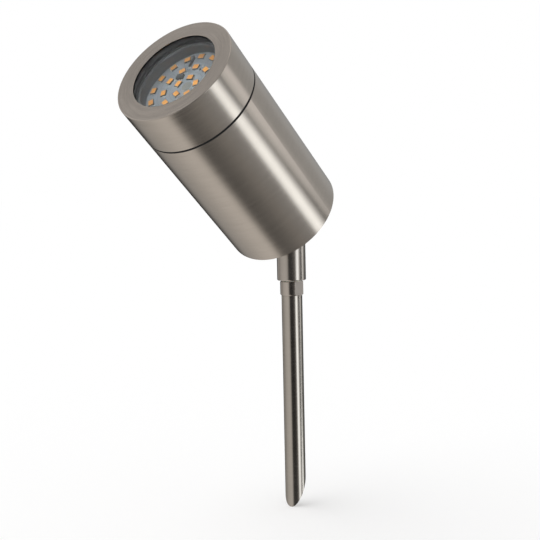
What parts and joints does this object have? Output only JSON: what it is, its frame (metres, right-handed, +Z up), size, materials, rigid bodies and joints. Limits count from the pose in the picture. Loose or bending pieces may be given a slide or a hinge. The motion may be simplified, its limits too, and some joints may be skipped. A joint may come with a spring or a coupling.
{
  "type": "garden spike spotlight",
  "caption": "Round stainless steel garden spotlight on a tilting knuckle and a hollow ground spike, with a screw-on front ring, clear glass and a twist-lock reflector lamp.",
  "frame": {"origin": "on the spike's axis, at the top of the spike tube under the collar, which is the ground line when the spike is pushed right in", "axes": "+Z up along the spike, the head aims towards -Y and is tilted up at rest, +X along the tilt bolt"},
  "size_m": [0.06, 0.1279, 0.2458],
  "materials": {
    "brushed_steel": "fine brushed along the axis",
    "turned_steel": "turned",
    "fixings": "bright zinc and stainless fixings",
    "collar_alloy": "machined",
    "black_rubber": "matt",
    "black_nylon": "moulded",
    "pale_nylon": "moulded",
    "holder_ceramic": "white moulded, satin",
    "brass": "bright",
    "pin_plating": "nickel plated",
    "brown_lead": "silicone sleeve",
    "blue_lead": "silicone sleeve",
    "green_lead": "silicone sleeve, green and yellow",
    "lamp_shell": "grey coated",
    "lamp_base": "moulded",
    "clear_plastic": "clear",
    "board_coat": "pale solder resist",
    "light_body": "white moulded",
    "phosphor": "phosphor resin",
    "dark_parts": "moulded",
    "driver_green": "solder resist",
    "front_glass": "clear, polished"
  },
  "bodies": {
    "spike": {"spike_tube": "brushed_steel", "spike_stud": "turned_steel", "swivel_washer": "pale_nylon"},
    "swivel": {"swivel_fork": "brushed_steel", "pivot_bolt": "fixings", "pivot_nut": "fixings", "pivot_washers": "pale_nylon"},
    "head": {"head_tongue": "turned_steel", "tongue_seal": "black_rubber", "tongue_washer": "fixings", "tongue_nut": "fixings", "rear_cap": "brushed_steel", "body_tube": "brushed_steel", "thread_collar": "collar_alloy", "groove_seal": "black_rubber", "cable_gland": "black_nylon", "gland_seal": "black_rubber", "gland_cap": "black_nylon", "gland_locknut": "black_nylon", "holder_bracket": "fixings", "bracket_screws": "fixings", "lamp_holder": "holder_ceramic", "holder_contacts": "brass", "holder_screws": "fixings", "terminal_block": "pale_nylon", "terminal_barrels": "brass", "terminal_screws": "fixings", "terminal_fixings": "fixings", "live_lead": "brown_lead", "neutral_lead": "blue_lead", "earth_lead": "green_lead", "earth_tag": "brass", "earth_screw": "fixings"},
    "lamp": {"lamp_housing": "lamp_shell", "lamp_base": "lamp_base", "lamp_pins": "pin_plating", "lamp_cover": "clear_plastic", "led_board": "board_coat", "led_packages": "light_body", "led_windows": "phosphor", "board_parts": "dark_parts", "driver_board": "driver_green", "driver_parts": "dark_parts"},
    "glazing": {"front_glass": "front_glass", "glass_gasket": "black_rubber"},
    "bezel": {"front_ring": "brushed_steel"}
  },
  "joints": [
    {"name": "pan", "type": "hinge", "parent": "spike", "child": "swivel", "pos_m": [0, 0, 0.0081], "axis": [0, 0, 1], "range_deg": [-180, 180]},
    {"name": "tilt", "type": "hinge", "parent": "swivel", "child": "head", "pos_m": [0, 0, 0.0371], "axis": [-1, 0, 0], "range_deg": [-42, 60]},
    {"name": "lamp_twist", "type": "hinge", "parent": "head", "child": "lamp", "pos_m": [0, 0, 0.0371], "axis": [0, -0.7837, 0.6211], "range_deg": [0, 25]},
    {"name": "ring_travel", "type": "slide", "parent": "head", "child": "glazing", "axis": [0, -0.7837, 0.6211], "range_m": [0, 0.0121]},
    {"name": "ring_turn", "type": "hinge", "parent": "glazing", "child": "bezel", "pos_m": [0, 0, 0.0371], "axis": [0, -0.7837, 0.6211], "range_deg": [0, 2880]}
  ],
  "couplings": [
    {"joint": "ring_travel", "follows": "ring_turn", "m_per_rad": 0.00023873}
  ]
}
